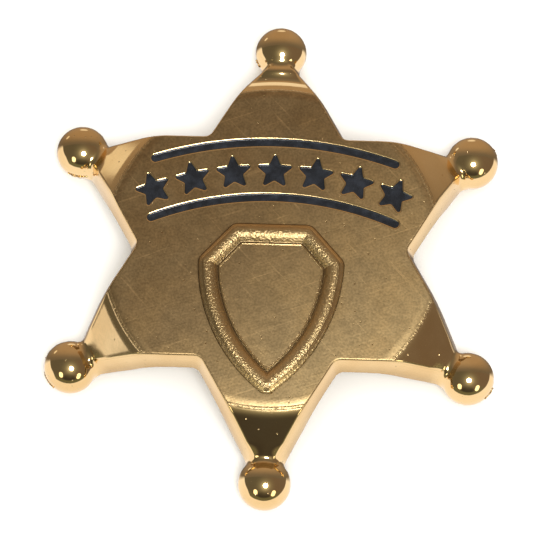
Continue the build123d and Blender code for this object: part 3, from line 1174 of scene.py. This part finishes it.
@dataclass(frozen=True)
class GoldPlatedZinc:
    """Bright gold plating over a polished zinc die casting.

    The eye sees a warm mirror with slight orange peel, fine pits, hairline scratches and duller
    metal where a polishing wheel can't reach; painted shade darkens the dull face towards its
    upper left and browns the grooves, recesses and the foot of the walls.

    Attributes:
        body: Bright plating.
        deep: Plating where it is a little thicker.
        face_shade_tint: Tint of the painted shade that darkens the dull face.
        dirt_and_shade: Tint of dirt and painted shade in grooves, recesses and at the foot of the
            walls.
        face_shade_from: Plan direction along which the painted shade on the face grows.
        face_shade_reach: Where the painted shade is weakest and strongest along that, in
            millimetres.
        cloud_mm: Size of the broad clouds of colour.
        peel_mm: Size of the orange peel.
        mottle_mm: Size of the fine grain, drawn coarser than the real one, which is under a pixel.
        patch_mm: Size of the dull patches of film.
        pit_mm: Distance between places for pits.
        pit_share: Share of those places with a pit.
        scratches: Pale scratches.
        hairlines: Hairlines felt in the surface.
        peel_depth: Depth of the orange peel in millimetres.
        hairline_depth: Depth of the hairlines.
        mottle_depth: Depth of the grain on dull metal.
        cast_depth: Depth of the grain left from casting.
        pit_depth: Depth of the pits.
    """

    body: str = "#FFE0A6"
    deep: str = "#F6D397"
    face_shade_tint: str = "#C8C2C0"
    dirt_and_shade: str = "#4A3517"
    face_shade_from: tuple[float, float] = (-0.75, 0.65)
    face_shade_reach: tuple[float, float] = (-23.0, 6.0)
    cloud_mm: float = 7.0
    peel_mm: float = 1.6
    mottle_mm: float = 0.34
    patch_mm: float = 1.6
    pit_mm: float = 0.9
    pit_share: float = 0.24
    scratches: tuple[Strokes, ...] = ((21.0, 0.4, 14.0), (-47.0, 0.4, 11.0))
    hairlines: tuple[Strokes, ...] = ((18.0, 0.22, 9.0), (-38.0, 0.3, 6.0), (72.0, 0.26, 5.0))
    peel_depth: float = 0.008
    hairline_depth: float = 0.009
    mottle_depth: float = 0.01
    cast_depth: float = 0.13
    pit_depth: float = 0.07

    def strokes(self, put: Put, place: Any, strokes: Strokes) -> Any:
        """Pattern of fine parallel lines; real ones are finer than a pixel, these are coarser."""
        turn, gap, length = strokes
        mapped = put(
            "ShaderNodeMapping",
            {
                "Vector": place,
                "Rotation": (0.0, 0.0, math.radians(turn)),
                "Scale": (length * MM, gap * MM, gap * MM),
            },
            vector_type="TEXTURE",
        )
        return put(NOISE, {"Vector": mapped, "Scale": 1.0, "Detail": 1.0})

    def colour(self, put: Put, place: Any, cloud: Any, mottle: Any, satin: Any) -> Any:
        """Colour of the plating, with painted shade over the dull face and dirt and painted shade
        in its hollows.

        Args:
            put: Adds a node to the material.
            place: Place on the piece.
            cloud: Broad cloudy pattern.
            mottle: Fine cloudy pattern.
            satin: 1 where the metal is dull, near 0 where it is a mirror.

        Returns:
            The output with the colour.
        """
        colour = put(RAMP, {"Fac": cloud}, stops=((0.35, self.deep), (0.62, self.body)))
        # Painted shade darkens the dull face towards its upper left corner, in uneven patches.
        inputs = {0: place, 1: (*self.face_shade_from, 0.0)}
        along = put(VECTOR, inputs, "Value", operation="DOT_PRODUCT")
        uneven = put(MATH, {0: cloud, 1: 44.0 * MM, 2: along}, operation="MULTIPLY_ADD")
        low, high = ((reach + 22.0) * MM for reach in self.face_shade_reach)
        dull = put(RANGE, {"Value": uneven, 1: low, 2: high})
        dull = put(MATH, {0: dull, 1: satin}, operation="MULTIPLY")
        # Dirt and painted shade from the mesh: dark in grooves, recesses and at the foot of the
        # walls, broken up by the fine grain.
        dirt_and_shade = put("ShaderNodeAttribute", out="Fac", attribute_name="dirt_and_shade")
        hollow_shade = put(RANGE, {"Value": mottle, 1: 0.3, 2: 0.6, 3: 0.75})
        hollow_shade = put(MATH, {0: dirt_and_shade, 1: hollow_shade}, operation="MULTIPLY")
        for share, tint in ((dull, self.face_shade_tint), (hollow_shade, self.dirt_and_shade)):
            inputs = {0: share, 6: colour, 7: linear_colour(tint)}
            colour = put(MIX, inputs, 2, data_type="RGBA", blend_type="MULTIPLY")
        # Small clouds of dull and bright metal; the real ones are finer than a pixel, so they are
        # drawn coarser.
        patch = put(NOISE, {"Vector": place, "Scale": per_metre(self.patch_mm), "Detail": 2.0})
        patch = put(RANGE, {"Value": patch, 1: 0.36, 2: 0.6, 3: 0.86})
        film = put(RANGE, {"Value": mottle, 1: 0.34, 2: 0.62, 3: 0.7, 4: 0.95})
        film = put(MATH, {0: film, 1: patch}, operation="MULTIPLY")
        film = put(MIX, {0: satin, 2: 1.0, 3: film})
        for strokes in self.scratches:
            bright = self.strokes(put, place, strokes)
            bright = put(RANGE, {"Value": bright, 1: 0.67, 2: 0.78, 4: 0.26})
            film = put(MATH, {0: bright, 1: satin, 2: film}, operation="MULTIPLY_ADD")
        return put(VECTOR, {0: colour, 3: film}, operation="SCALE")

    def material(self) -> bpy.types.Material:
        """Builds the material."""
        made = bpy.data.materials.new("gold_plated_die_cast_zinc")
        put = partial(add_node, emptied_tree(made))
        place = put("ShaderNodeTexCoord", out="Object")
        cloud, mottle, peel = (
            put(NOISE, {"Vector": place, "Scale": per_metre(size), "Detail": detail})
            for size, detail in ((self.cloud_mm, 4.0), (self.mottle_mm, 5.0), (self.peel_mm, 2.0))
        )
        polish = put("ShaderNodeAttribute", out="Fac", attribute_name="polish")
        satin = put(RANGE, {"Value": polish, 1: 0.3, 2: 0.68, 3: 1.0, 4: 0.08})
        # Only the cells of the pattern whose own grey is high hold a pit.
        inputs = {"Vector": place, "Scale": per_metre(self.pit_mm)}
        pits = put("ShaderNodeTexVoronoi", inputs, "Distance", feature="F1")
        chosen = put("ShaderNodeSeparateColor", {0: pits.node.outputs["Color"]})
        chosen = put(MATH, {0: chosen, 1: 1.0 - self.pit_share}, operation="GREATER_THAN")
        whole = put(RANGE, {"Value": pits, 1: 0.03, 2: 0.15})
        whole = put(MIX, {0: chosen, 2: 1.0, 3: whole})
        # The raised frame is left as cast and only brushed over, so it keeps a coarser grain.
        cast = put(RANGE, {"Value": polish, 1: 0.3, 2: 0.4})
        brushed = put(RANGE, {"Value": polish, 1: 0.55, 2: 0.64, 3: 1.0, 4: 0.0})
        cast = put(MATH, {0: cast, 1: brushed}, operation="MULTIPLY")
        reliefs = [
            (self.strokes(put, place, strokes), satin, self.hairline_depth)
            for strokes in self.hairlines
        ]
        reliefs += [(mottle, satin, self.mottle_depth), (mottle, cast, self.cast_depth)]
        reliefs.append((whole, 1.0, self.pit_depth))
        surface = put(BUMP, {"Height": peel, "Strength": 1.0, "Distance": self.peel_depth * MM})
        for pattern, share, depth in reliefs:
            height = put(MATH, {0: pattern, 1: share}, operation="MULTIPLY")
            inputs = {"Height": height, "Strength": 1.0, "Distance": depth * MM, "Normal": surface}
            surface = put(BUMP, inputs)
        rough = put(RANGE, {"Value": polish, 3: 0.6, 4: 0.05})
        rough = put(MIX, {0: whole, 2: 0.14, 3: rough})
        colour = self.colour(put, place, cloud, mottle, satin)
        inputs = {"Base Color": colour, "Metallic": 1.0, "Roughness": rough, "Normal": surface}
        put("ShaderNodeOutputMaterial", {"Surface": put(PRINCIPLED, inputs)})
        return made


@dataclass(frozen=True)
class BlackEnamel:
    """Soft enamel poured into recesses and baked: a deep, slightly blue black with a wet gloss."""

    body: str = "#14171C"
    worn: str = "#23272E"
    cloud_mm: float = 1.4
    ripple: float = 0.03

    def material(self) -> bpy.types.Material:
        """Builds the material."""
        made = bpy.data.materials.new("black_baked_enamel")
        put = partial(add_node, emptied_tree(made))
        place = put("ShaderNodeTexCoord", out="Object")
        cloud = put(NOISE, {"Vector": place, "Scale": per_metre(self.cloud_mm), "Detail": 3.0})
        inputs = {
            "Base Color": put(RAMP, {"Fac": cloud}, stops=((0.4, self.body), (0.7, self.worn))),
            "Roughness": 0.22,
            "IOR": 1.5,
            "Coat Weight": 0.6,
            "Coat Roughness": 0.08,
            "Normal": put(BUMP, {"Height": cloud, "Strength": 1.0, "Distance": self.ripple * MM}),
        }
        put("ShaderNodeOutputMaterial", {"Surface": put(PRINCIPLED, inputs)})
        return made


@dataclass(frozen=True)
class NickelSteel:
    """Nickel-plated steel strip and wire: a grey, faintly drawn sheen."""

    body: str = "#C9C4BA"
    dull: str = "#A39D92"
    grain_length: float = 6.0
    grain_gap: float = 0.15
    depth: float = 0.004

    def material(self) -> bpy.types.Material:
        """Builds the material."""
        made = bpy.data.materials.new("nickel_plated_steel")
        put = partial(add_node, emptied_tree(made))
        place = put("ShaderNodeTexCoord", out="Object")
        along, across = per_metre(self.grain_length), per_metre(self.grain_gap)
        drawn = put("ShaderNodeMapping", {"Vector": place, "Scale": (along, across, across)})
        grain = put(NOISE, {"Vector": drawn, "Scale": 1.0, "Detail": 4.0})
        inputs = {
            "Base Color": put(RAMP, {"Fac": grain}, stops=((0.3, self.dull), (0.65, self.body))),
            "Metallic": 1.0,
            "Roughness": put(RANGE, {"Value": grain, 3: 0.34, 4: 0.2}),
            "Normal": put(BUMP, {"Height": grain, "Strength": 1.0, "Distance": self.depth * MM}),
        }
        put("ShaderNodeOutputMaterial", {"Surface": put(PRINCIPLED, inputs)})
        return made


@dataclass(frozen=True)
class NodeForm:
    """A Geometry Nodes group with named inputs, run once on a mesh and then made plain.

    Attributes:
        name: Name of the group.
        sizes: For each named input its socket type and the value it takes.
    """

    name: str
    sizes: dict[str, tuple[str, Any]]

    def group(self) -> tuple[bpy.types.NodeTree, dict[str, Any]]:
        """Makes the empty group.

        Returns:
            The group, and its inputs by name with the mesh as "Geometry".
        """
        tree = bpy.data.node_groups.new(self.name, "GeometryNodeTree")
        tree.interface.new_socket("Geometry", in_out="INPUT", socket_type="NodeSocketGeometry")
        for label, (kind, _) in self.sizes.items():
            tree.interface.new_socket(label, in_out="INPUT", socket_type=kind)
        tree.interface.new_socket("Geometry", in_out="OUTPUT", socket_type="NodeSocketGeometry")
        entry = add_node(tree, "NodeGroupInput").node
        return tree, {socket.name: socket for socket in entry.outputs if socket.name}

    def run(
        self, source: bpy.types.Object, instances: Any, finish: bpy.types.Material, name: str
    ) -> bpy.types.Object:
        """Ends the group, runs it on an object and keeps the result as a plain mesh.

        Args:
            source: Object that the group works on, which is removed.
            instances: Output of the group's last node so far.
            finish: Material of the new piece.
            name: Name of the new piece.

        Returns:
            The new piece.
        """
        tree = instances.id_data
        real = add_node(tree, "GeometryNodeRealizeInstances", {"Geometry": instances})
        inputs = {"Geometry": real, "Material": finish}
        dressed = add_node(tree, "GeometryNodeSetMaterial", inputs)
        add_node(tree, "NodeGroupOutput", {0: dressed})
        worker = source.modifiers.new(self.name, "NODES")
        worker.node_group = tree
        for item in tree.interface.items_tree:
            if item.in_out == "INPUT" and item.name in self.sizes:
                worker[item.identifier] = self.sizes[item.name][1]
        ready = source.evaluated_get(bpy.context.evaluated_depsgraph_get())
        mesh = bpy.data.meshes.new_from_object(ready)
        source.modifiers.remove(worker)
        bpy.data.objects.remove(source)
        mesh.name = name
        LOG.info("%s: %d faces from %s", name, len(mesh.polygons), self.name)
        return linked(name, mesh)


@dataclass(frozen=True)
class SeamFlash:
    """Crumbs of metal left along the balls where the two halves of the mould met.

    Attributes:
        stretches: For each stretch the ball by its arm, and the angles round it in degrees.
        gap: Distance between crumbs.
        crumb: Radius of the largest crumb.
        limit: Half of the width and of the height of the badge, within which the crumbs are kept.
    """

    form: StarForm = StarForm()
    stretches: tuple[tuple[int, float, float], ...] = (
        (2, 240.0, 298.0),
        (2, 172.0, 188.0),
        (3, 118.0, 124.0),
        (3, 140.0, 234.0),
        (1, 198.0, 214.0),
        (0, 12.0, 40.0),
        (5, -48.0, -20.0),
    )
    gap: float = 0.22
    crumb: float = 0.24
    limit: tuple[float, float] = (33.42, 37.98)
    seed: int = 7

    def seam_line(self) -> bpy.types.Object:
        """Builds the stretches of seam as lines round the widest part of each ball."""
        points: list[list[float]] = []
        edges: list[tuple[int, int]] = []
        for arm, start, end in self.stretches:
            middle = self.form.first_arm + arm * self.form.pitch
            ring, radius = self.form.ball_ring, self.form.ball_radius
            turns = np.radians(np.linspace(start, end, 24))
            across = ring * math.cos(middle) + radius * np.cos(turns)
            along = ring * math.sin(middle) + radius * np.sin(turns)
            edge = np.array(self.limit) - self.crumb
            flat = np.clip(np.column_stack([across, along]), -edge, edge)
            first = len(points)
            points += (raised(flat, radius) * MM).tolist()
            edges += [(first + i, first + i + 1) for i in range(len(turns) - 1)]
        mesh = bpy.data.meshes.new("seam_line")
        mesh.from_pydata(points, edges, [])
        return linked("seam_line", mesh)

    def build(self, finish: bpy.types.Material) -> bpy.types.Object:
        """Grows the crumbs along the seam.

        Args:
            finish: Their material.

        Returns:
            The piece.
        """
        form = NodeForm(
            "crumbs_along_seam",
            {
                "Gap": ("NodeSocketFloat", self.gap * MM),
                "Crumb": ("NodeSocketFloat", self.crumb * MM),
                "Seed": ("NodeSocketInt", self.seed),
            },
        )
        tree, given = form.group()
        put = partial(add_node, tree)
        seed = given["Seed"]
        line = put("GeometryNodeMeshToCurve", {"Mesh": given["Geometry"]})
        inputs = {"Curve": line, "Length": given["Gap"]}
        spots = put("GeometryNodeResampleCurve", inputs, mode="LENGTH")
        crumb = put("GeometryNodeMeshIcoSphere", {"Radius": given["Crumb"], "Subdivisions": 2})
        inputs = {"Min": (0.35,) * 3, "Max": (1.0,) * 3, "Seed": seed}
        size = put("FunctionNodeRandomValue", inputs, data_type="FLOAT_VECTOR")
        inputs = {"Max": (6.28,) * 3, "Seed": seed}
        spin = put("FunctionNodeRandomValue", inputs, data_type="FLOAT_VECTOR")
        inputs = {"Points": spots, "Instance": crumb, "Rotation": spin, "Scale": size}
        crumbs = put("GeometryNodeInstanceOnPoints", inputs)
        smooth = put("GeometryNodeRealizeInstances", {"Geometry": crumbs})
        smooth = put("GeometryNodeSetShadeSmooth", {"Geometry": smooth})
        made = form.run(self.seam_line(), smooth, finish, "seam_flash")
        for label, value in (("polish", 0.85), ("dirt_and_shade", 0.3)):
            layer = made.data.attributes.new(label, "FLOAT", "POINT").data
            layer.foreach_set("value", [value] * len(made.data.vertices))
        return made


@dataclass(frozen=True)
class Casting:
    """The gold star in one piece."""

    form: StarForm = StarForm()
    shield: ShieldFrame = ShieldFrame()
    band: EnamelBand = EnamelBand()
    dome: float = 430.0

    def build(self, finish: bpy.types.Material) -> bpy.types.Object:
        """Builds the casting.

        Args:
            finish: Its material.

        Returns:
            The piece.
        """
        shell = Shell()
        height = self.form.face_height
        frame = self.shield
        mesher = StarMesher(self.form)
        holes = [frame.at(frame.section.rows[0][0])[0]]
        frame.section.add_to(shell, frame, height, self.dome)
        inner = [frame.at(frame.section.rows[-1][0])[0]]
        shell.add_plane(inner, height, (mesher.face_polish, 0.0), dome=self.dome)
        for recess in self.band.recesses():
            holes.append(recess.at(self.band.rim.rows[0][0])[0])
            self.band.rim.add_to(shell, recess, height, self.dome)
            floor = [recess.at(self.band.rim.rows[-1][0])[0]]
            # The recess floor takes the rim's last row: its polish and full painted shade, under
            # the enamel.
            shell.add_plane(floor, height - self.band.floor_depth, self.band.rim.rows[-1][3:])
        mesher.add_to(shell, holes, self.dome)
        return shell.to_object("star_casting", finish)


@dataclass(frozen=True)
class EnamelFill:
    """The enamel in the recesses."""

    band: EnamelBand = EnamelBand()
    face_height: float = 12.2

    def build(self, finish: bpy.types.Material) -> list[bpy.types.Object]:
        """Builds the stars in one piece and each line in its own.

        Args:
            finish: Their material.

        Returns:
            Stars, upper line and lower line.
        """
        made = [self.star_row(finish)]
        for name, side, span in (
            ("enamel_upper_line", 1.0, self.band.upper_half_span),
            ("enamel_lower_line", -1.0, self.band.lower_half_span),
        ):
            line = Shell()
            self.band.fill(line, self.band.line_outline(side, span), self.face_height)
            made.append(line.to_object(name, finish))
        return made

    def star_row(self, finish: bpy.types.Material) -> bpy.types.Object:
        """Repeats one enamel star along the arc, turned to follow it.

        Args:
            finish: Its material.

        Returns:
            The piece.
        """
        band = self.band
        form = NodeForm(
            "stars_along_arc",
            {
                "Count": ("NodeSocketInt", band.star_count),
                "Step": ("NodeSocketFloat", -band.star_pitch / band.arc_radius),
                "Reach": ("NodeSocketFloat", (band.arc_radius - band.star_drop) * MM),
                "Middle": ("NodeSocketFloat", band.arc_centre_y * MM),
            },
        )
        tree, given = form.group()
        put = partial(add_node, tree)
        index = put("GeometryNodeInputIndex")
        last = put(MATH, {0: given["Count"], 1: 1.0}, operation="SUBTRACT")
        turn = put(MATH, {0: last, 1: -0.5, 2: index}, operation="MULTIPLY_ADD")
        turn = put(MATH, {0: turn, 1: given["Step"]}, operation="MULTIPLY")
        across = put(MATH, {0: turn}, operation="SINE")
        across = put(MATH, {0: across, 1: -1.0}, operation="MULTIPLY")
        across = put(MATH, {0: across, 1: given["Reach"]}, operation="MULTIPLY")
        along = put(MATH, {0: turn}, operation="COSINE")
        inputs = {0: along, 1: given["Reach"], 2: given["Middle"]}
        along = put(MATH, inputs, operation="MULTIPLY_ADD")
        spot = put("ShaderNodeCombineXYZ", {0: across, 1: along})
        spin = put("ShaderNodeCombineXYZ", {2: turn})
        places = put("GeometryNodePoints", {"Count": given["Count"], "Position": spot})
        inputs = {"Points": places, "Instance": given["Geometry"], "Rotation": spin}
        row = put("GeometryNodeInstanceOnPoints", inputs)
        star = Shell()
        band.fill(star, band.star_outline, self.face_height)
        return form.run(star.to_object("one_star", finish), row, finish, "enamel_stars")


@dataclass(frozen=True)
class Studio:
    """A pale surface in a dim warm room, with a white lamp beside the camera and a scrim above.

    Attributes:
        surface_size: Width of the surface in metres.
        surface_colour: Its colour.
        lamp_direction: Direction in which the white lamp stands.
        lamp_distance: How far away it stands, in metres.
        lamp_size: Its width in metres.
        lamp_power: Its power in watts.
        scrim_distance: Height of the scrim that softens the shadows, in metres.
        scrim_size: Its width in metres.
        scrim_power: Its power in watts.
        dark: Light of the room behind the camera, at the left and at the right.
        wall: Light of the wall ahead, near its foot and further up.
        foreground: Light of what lies low behind the camera.
        sheet: Light of the pale sheet that lies round the badge.
        backdrop: What the camera sees past the surface.
        viewer: The dark shape behind the camera.
        glows: Falloff and light of the haze round the white lamp.
        cards: Small bright patches far away, each with its direction, the cosines of the angles
            where it begins and where it is full, and its light.
    """

    surface_size: float = 3.0
    surface_colour: str = "#F7F6F3"
    lamp_direction: tuple[float, float, float] = (0.12, -0.395, 0.91)
    lamp_distance: float = 0.62
    lamp_size: float = 0.21
    lamp_power: float = 1.8
    scrim_distance: float = 0.9
    scrim_size: float = 1.8
    scrim_power: float = 13.8
    dark: tuple[Light, Light] = ((0.125, 0.115, 0.095), (0.175, 0.135, 0.11))
    wall: tuple[Light, Light] = ((0.17, 0.145, 0.125), (0.42, 0.31, 0.22))
    foreground: Light = (0.16, 0.165, 0.11)
    sheet: Light = (1.05, 0.99, 0.98)
    backdrop: Light = (0.86, 0.86, 0.85)
    viewer: Patch = ((0.0, -0.93, 0.3), 0.85, 0.96, (0.05, 0.045, 0.04))
    glows: tuple[tuple[float, Light], ...] = ((9.0, (0.36, 0.35, 0.27)), (42.0, (1.1, 1.05, 0.9)))
    cards: tuple[Patch, ...] = (
        ((-0.03, 0.962, -0.262), 0.986, 0.995, (0.95, 0.87, 0.8)),
        ((-0.701, 0.708, -0.06), 0.9935, 0.997, (0.95, 0.86, 0.75)),
        ((-0.5635, -0.655, 0.49), 0.986, 0.992, (2.2, 2.1, 1.6)),
        ((-0.5635, -0.733, 0.41), 0.987, 0.993, (2.2, 2.1, 1.6)),
        ((0.66, -0.66, 0.37), 0.986, 0.992, (2.2, 2.1, 1.6)),
        ((0.60, -0.75, 0.28), 0.987, 0.993, (2.2, 2.1, 1.6)),
    )

    def floor(self) -> bpy.types.Object:
        """Builds the pale surface that the badge lies on."""
        half = self.surface_size / 2
        mesh = bpy.data.meshes.new("pale_surface")
        corners = [(-half, -half, 0.0), (half, -half, 0.0), (half, half, 0.0), (-half, half, 0.0)]
        mesh.from_pydata(corners, [], [(0, 1, 2, 3)])
        made = linked("pale_surface", mesh)
        paper = bpy.data.materials.new("matt_card")
        put = partial(add_node, emptied_tree(paper))
        inputs = {"Color": linear_colour(self.surface_colour), "Roughness": 1.0}
        put("ShaderNodeOutputMaterial", {"Surface": put("ShaderNodeBsdfDiffuse", inputs)})
        mesh.materials.append(paper)
        made.visible_glossy = False
        return made

    def patched(self, put: Put, way: Any, room: Any, patches: Sequence[Patch]) -> Any:
        """Lays soft round patches over the light of the room.

        Args:
            put: Adds a node to the world.
            way: Direction that the light comes from.
            room: Light so far.
            patches: The patches, the lowest one first.

        Returns:
            The output with the new light.
        """
        for direction, start, end, light in patches:
            inputs = {0: way, 1: Vector(direction).normalized()}
            near = put(VECTOR, inputs, "Value", operation="DOT_PRODUCT")
            inputs = {"Value": near, 1: start, 2: end}
            share = put(RANGE, inputs, interpolation_type="SMOOTHSTEP")
            room = put(MIX, {0: share, 6: room, 7: (*light, 1.0)}, 2, data_type="RGBA")
        return room

    def sheet_edge(self, put: Put, x: Any, y: Any, z: Any) -> Any:
        """Height over the far edge of the pale sheet, which curves and drops at the left."""
        square = put(MATH, {0: y, 1: 1.0}, operation="ADD")
        square = put(MATH, {0: square, 1: 2.0}, operation="POWER")
        edge = put(MATH, {0: y, 1: 0.12, 2: z}, operation="MULTIPLY_ADD")
        edge = put(MATH, {0: square, 1: 0.085, 2: edge}, operation="MULTIPLY_ADD")
        left = put(RANGE, {"Value": x, 1: -0.75, 2: -0.95, 4: -0.25})
        return put(MATH, {0: edge, 1: left}, operation="ADD")

    def sky(self) -> None:
        """Builds the room as the light that reaches the badge from every direction."""
        world = bpy.data.worlds.new("dim_warm_room")
        bpy.context.scene.world = world
        put = partial(add_node, emptied_tree(world))
        way = put("ShaderNodeTexCoord", out="Generated")
        x, y, z = put("ShaderNodeSeparateXYZ", {0: way}).node.outputs
        # Each zone takes over softly while one part of the direction goes from start to end.
        up_wall, to_right, ahead, low, behind, past_sheet, on_sheet = (
            put(RANGE, {"Value": part, 1: start, 2: end}, interpolation_type="SMOOTHSTEP")
            for part, start, end in (
                (y, 0.34, 0.95),
                (x, -0.5, 0.9),
                (y, 0.27, 0.345),
                (z, 0.3, 0.13),
                (y, -0.3, -0.8),
                (y, 0.25, 0.42),
                (self.sheet_edge(put, x, y, z), -0.145, -0.2),
            )
        )
        (left, right), (foot, top), front, sheet, backdrop = (
            [(*light, 1.0) for light in self.dark],
            [(*light, 1.0) for light in self.wall],
            (*self.foreground, 1.0),
            (*self.sheet, 1.0),
            (*self.backdrop, 1.0),
        )
        wall = put(MIX, {0: up_wall, 6: foot, 7: top}, 2, data_type="RGBA")
        room = put(MIX, {0: to_right, 6: left, 7: right}, 2, data_type="RGBA")
        room = put(MIX, {0: ahead, 6: room, 7: wall}, 2, data_type="RGBA")
        room = self.patched(put, way, room, [self.viewer])
        close = put(MATH, {0: low, 1: behind}, operation="MULTIPLY")
        room = put(MIX, {0: close, 6: room, 7: front}, 2, data_type="RGBA")
        below = put(MIX, {0: past_sheet, 6: sheet, 7: room}, 2, data_type="RGBA")
        room = put(MIX, {0: on_sheet, 6: room, 7: below}, 2, data_type="RGBA")
        inputs = {0: way, 1: Vector(self.lamp_direction).normalized()}
        near = put(VECTOR, inputs, "Value", operation="DOT_PRODUCT")
        near = put(MATH, {0: near, 1: 0.0}, operation="MAXIMUM")
        for falloff, light in self.glows:
            glow = put(MATH, {0: near, 1: falloff}, operation="POWER")
            room = put(MIX, {0: glow, 6: room, 7: (*light, 1.0)}, 2, data_type="RGBA")
        room = self.patched(put, way, room, self.cards)
        seen = put("ShaderNodeLightPath", out="Is Camera Ray")
        room = put(MIX, {0: seen, 6: room, 7: backdrop}, 2, data_type="RGBA")
        light = put("ShaderNodeBackground", {"Color": room, "Strength": 1.0})
        put("ShaderNodeOutputWorld", {"Surface": light})

    def lamp(
        self, name: str, toward: Sequence[float], distance: float, size: float, power: float
    ) -> bpy.types.Object:
        """Adds one round lamp that faces the badge.

        Args:
            name: Name of the lamp.
            toward: Direction in which it stands.
            distance: How far away it stands, in metres.
            size: Its width in metres.
            power: Its power in watts.

        Returns:
            The lamp.
        """
        light = bpy.data.lights.new(name, "AREA")
        light.shape, light.size, light.energy = "DISK", size, power
        made = linked(name, light)
        way = Vector(toward)
        spin = way.to_track_quat("Z", "Y").to_matrix().to_4x4()
        made.matrix_world = Matrix.Translation(way.normalized() * distance) @ spin
        made.visible_camera = False
        return made

    def lamps(self) -> None:
        """Adds the white lamp beside the camera and a broad scrim that softens the shadows."""
        place, size = (self.lamp_direction, self.lamp_distance), self.lamp_size
        self.lamp("white_lamp", *place, size, self.lamp_power)
        place, size = ((0.0, 0.0, 1.0), self.scrim_distance), self.scrim_size
        scrim = self.lamp("overhead_scrim", *place, size, self.scrim_power)
        scrim.visible_glossy = False

    def build(self) -> None:
        """Builds the whole setting."""
        self.floor()
        self.sky()
        self.lamps()
        view = bpy.context.scene.view_settings
        view.view_transform = "Standard"
        view.look = "None"


@dataclass(frozen=True)
class Viewpoint:
    """The camera, at the angle of the photograph.

    Attributes:
        tilt: How far the camera leans from straight above.
        roll: Turn about its own line of sight.
        spin: Turn of the badge under it.
        distance: Distance from the target in millimetres.
        focal_pixels: Focal length in pixels of the photograph.
        frame_pixels: Width of the photograph.
        target_pixel: Where the target is seen.
        target: Middle of the face in millimetres.
    """

    tilt: float = math.radians(19.09)
    roll: float = math.radians(3.50)
    spin: float = math.radians(-5.44)
    distance: float = 514.8
    focal_pixels: float = 3483.0
    frame_pixels: float = 540.0
    target_pixel: tuple[float, float] = (271.8, 246.47)
    target: tuple[float, float, float] = (0.0, 0.0, 12.2)

    def build(self) -> bpy.types.Object:
        """Makes the camera and gives it to the scene."""
        turn = (
            Matrix.Rotation(self.roll, 3, "Z")
            @ Matrix.Rotation(-self.tilt, 3, "X")
            @ Matrix.Rotation(self.spin, 3, "Z")
        )
        stand = turn.transposed()
        place = stand @ Vector((0, 0, self.distance)) + Vector(self.target)
        half = self.frame_pixels / 2
        right = math.atan2(half - self.target_pixel[0], self.focal_pixels)
        below = math.atan2(half - self.target_pixel[1], self.focal_pixels)
        aim = Matrix.Rotation(-right, 3, "Y") @ Matrix.Rotation(-below, 3, "X")
        data = bpy.data.cameras.new("camera")
        data.sensor_width = 36.0
        data.lens = self.focal_pixels / self.frame_pixels * data.sensor_width
        data.clip_start, data.clip_end = 0.01, 20.0
        made = linked("camera", data)
        made.matrix_world = Matrix.Translation(place * MM) @ (stand @ aim).to_4x4()
        bpy.context.scene.camera = made
        return made


def place_piece(piece: bpy.types.Object, nodes: Iterable[str]) -> None:
    """Fastens a piece to the part and hides the solids that it stands for.

    Args:
        piece: The finished piece.
        nodes: Names of the solids.
    """
    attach(piece, ROOT)
    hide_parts(*nodes)
    LOG.info("placed %s", piece.name)


def main() -> None:
    """Builds the badge, its setting and the camera."""
    logging.basicConfig(level=logging.INFO, format="%(message)s")
    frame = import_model()
    finishes = (GoldPlatedZinc(), BlackEnamel(), NickelSteel())
    gold, enamel, steel = (finish.material() for finish in finishes)
    place_piece(Casting().build(gold), ["star_body"])
    place_piece(SeamFlash().build(gold), ["star_body"])
    stars, upper, lower = EnamelFill().build(enamel)
    place_piece(stars, [f"enamel_star_{number}" for number in range(1, 8)])
    place_piece(upper, ["enamel_line_upper"])
    place_piece(lower, ["enamel_line_lower"])
    clasp = frame["nodes"]["pin_clasp"]
    clasp.data.materials.clear()
    clasp.data.materials.append(steel)
    Studio().build()
    Viewpoint().build()


if __name__ == "__main__":
    main()
